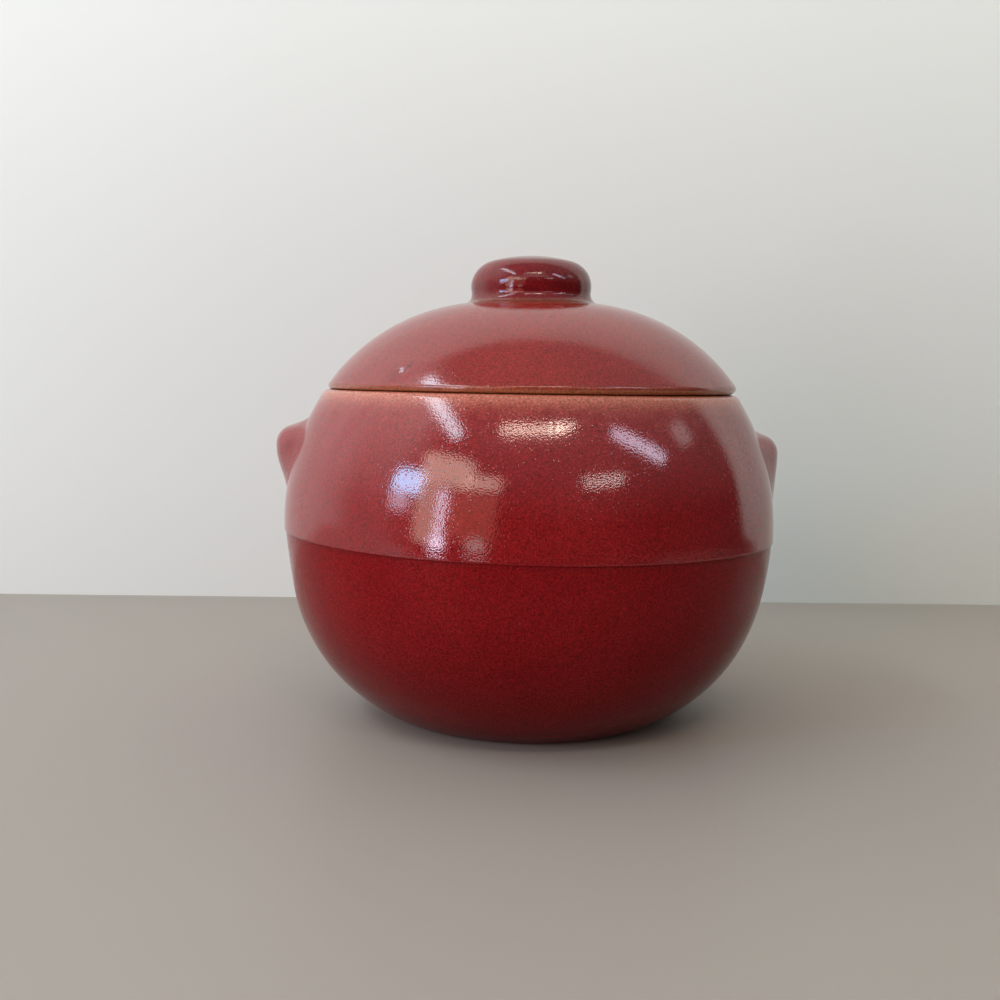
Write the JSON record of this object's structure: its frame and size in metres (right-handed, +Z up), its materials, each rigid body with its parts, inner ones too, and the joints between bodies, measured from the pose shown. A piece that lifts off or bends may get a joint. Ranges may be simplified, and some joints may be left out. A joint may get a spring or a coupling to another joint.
{
  "type": "grease jar",
  "caption": "Ball-shaped glazed stoneware grease jar with a belt round its middle, small side lugs and a domed lift-off lid with a round knob.",
  "frame": {"origin": "centre of the foot on the table, below the jar's axis", "axes": "+Z up along the jar's axis, +X along the line through the two lugs"},
  "size_m": [0.1574, 0.152, 0.1422],
  "materials": {
    "jar_glaze": "semi-gloss maroon glaze on stoneware",
    "lid_glaze": "semi-gloss maroon glaze on stoneware",
    "knob_glaze": "high-gloss thick maroon glaze on stoneware"
  },
  "bodies": {
    "jar": {"lower_bowl": "jar_glaze", "upper_shoulder": "jar_glaze", "lug_left": "jar_glaze", "lug_right": "jar_glaze"},
    "cover": {"lid": "lid_glaze", "lid_knob": "knob_glaze"}
  },
  "joints": [
    {"name": "lid_lift", "type": "slide", "parent": "jar", "child": "cover", "axis": [0, 0, 1], "range_m": [0, 0.12]}
  ]
}
